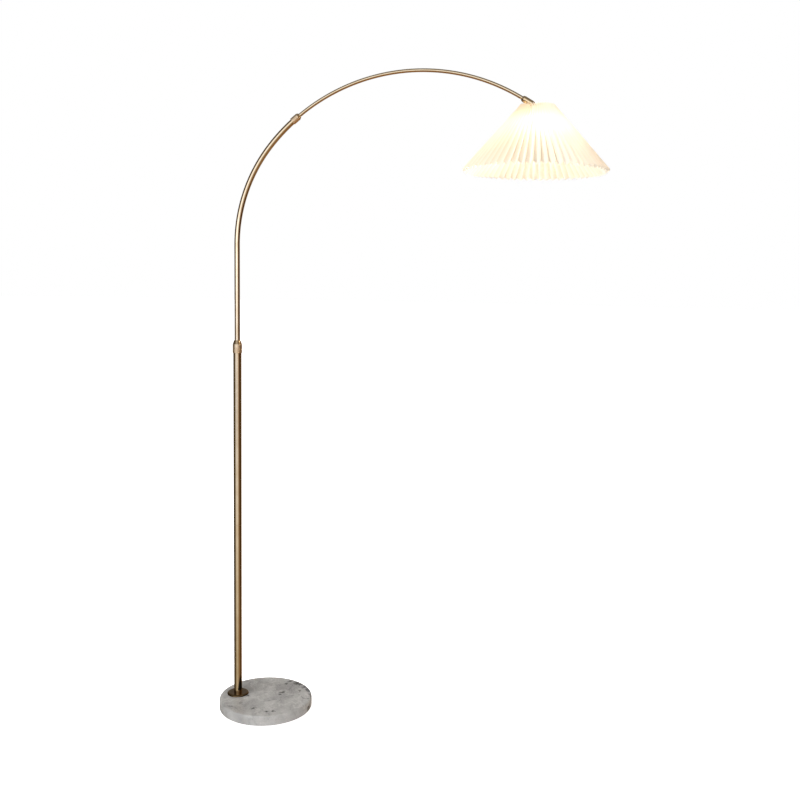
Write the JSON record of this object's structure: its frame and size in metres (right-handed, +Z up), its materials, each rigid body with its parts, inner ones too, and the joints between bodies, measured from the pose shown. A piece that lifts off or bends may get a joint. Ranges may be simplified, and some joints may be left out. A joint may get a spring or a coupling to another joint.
{
  "type": "arc floor lamp",
  "caption": "Arc floor lamp with a round marble base, telescoping brass pole and arched arm, and a pleated cone shade.",
  "frame": {"origin": "middle of the base's underside, on the resting surface", "axes": "+Z up along the pole, +X from the pole towards the shade"},
  "size_m": [1.1029, 0.401, 1.8854],
  "materials": {
    "marble": "polished",
    "felt": "matte",
    "satin_brass": "satin",
    "dark_brass": "gloss",
    "knurled_brass": "matte",
    "steel": "satin",
    "black_plastic": "matte",
    "white_plastic": "satin",
    "ceramic": "gloss",
    "white_paint": "satin",
    "shade_cloth": "matte",
    "frosted_glass": "satin",
    "glowing_core": "satin"
  },
  "bodies": {
    "stand": {"base_pad": "felt", "marble_base": "marble", "base_washer": "steel", "base_nut": "steel", "tie_rod": "steel", "foot_flange": "dark_brass", "foot_plug": "steel", "lower_pole": "satin_brass", "cord_grommet": "black_plastic", "pole_coupling": "steel", "upper_pole": "satin_brass", "pole_mouth_bush": "steel", "pole_collet": "white_plastic"},
    "pole_nut": {"pole_lock_nut": "knurled_brass"},
    "carriage": {"shank_bush": "black_plastic"},
    "lower_arm_body": {"lower_arm": "satin_brass", "arm_mouth_bush": "steel", "arm_collet": "white_plastic"},
    "arm_nut": {"arm_lock_nut": "knurled_brass"},
    "upper_arm_body": {"upper_arm": "satin_brass", "arm_guide_plug": "white_plastic", "head_sleeve": "satin_brass", "sleeve_screw": "steel", "knuckle_tongue": "satin_brass"},
    "head": {"knuckle_fork": "satin_brass", "pivot_screw": "steel", "pivot_nut": "steel", "holder_cap": "satin_brass", "holder_skirt": "satin_brass", "holder_core": "ceramic", "holder_contact": "steel", "holder_shell": "dark_brass", "shade_ring": "satin_brass", "shade_frame": "white_paint", "shade_mid_ring": "white_paint", "shade_rib_1": "white_paint", "shade_rib_2": "white_paint", "shade_rib_3": "white_paint", "shade_rib_4": "white_paint", "pleated_shade": "shade_cloth", "bulb_glass": "frosted_glass", "bulb_cap": "steel", "bulb_insulator": "black_plastic", "bulb_stem": "white_plastic", "bulb_filament": "glowing_core"}
  },
  "joints": [
    {"name": "pole_nut_turn", "type": "hinge", "parent": "stand", "child": "pole_nut", "pos_m": [-0.089, 0, 1.1], "axis": [0, 0, 1], "range_deg": [0, 120]},
    {"name": "height_slide", "type": "slide", "parent": "stand", "child": "carriage", "axis": [0, 0, 1], "range_m": [-0.25, 0]},
    {"name": "arm_swivel", "type": "hinge", "parent": "carriage", "child": "lower_arm_body", "pos_m": [-0.089, 0, 1.05], "axis": [0, 0, 1], "range_deg": [-170, 170]},
    {"name": "arm_nut_turn", "type": "hinge", "parent": "lower_arm_body", "child": "arm_nut", "pos_m": [0.08656, 0, 1.75469], "axis": [0.7727, 0, 0.6347], "range_deg": [0, 120]},
    {"name": "arm_extend", "type": "hinge", "parent": "lower_arm_body", "child": "upper_arm_body", "pos_m": [0.43756, 0, 1.32736], "axis": [0, 1, 0], "range_deg": [-8.4, 0]},
    {"name": "head_tilt", "type": "hinge", "parent": "upper_arm_body", "child": "head", "pos_m": [0.7624, 0, 1.77733], "axis": [0, 1, 0], "range_deg": [-35, 10]}
  ]
}
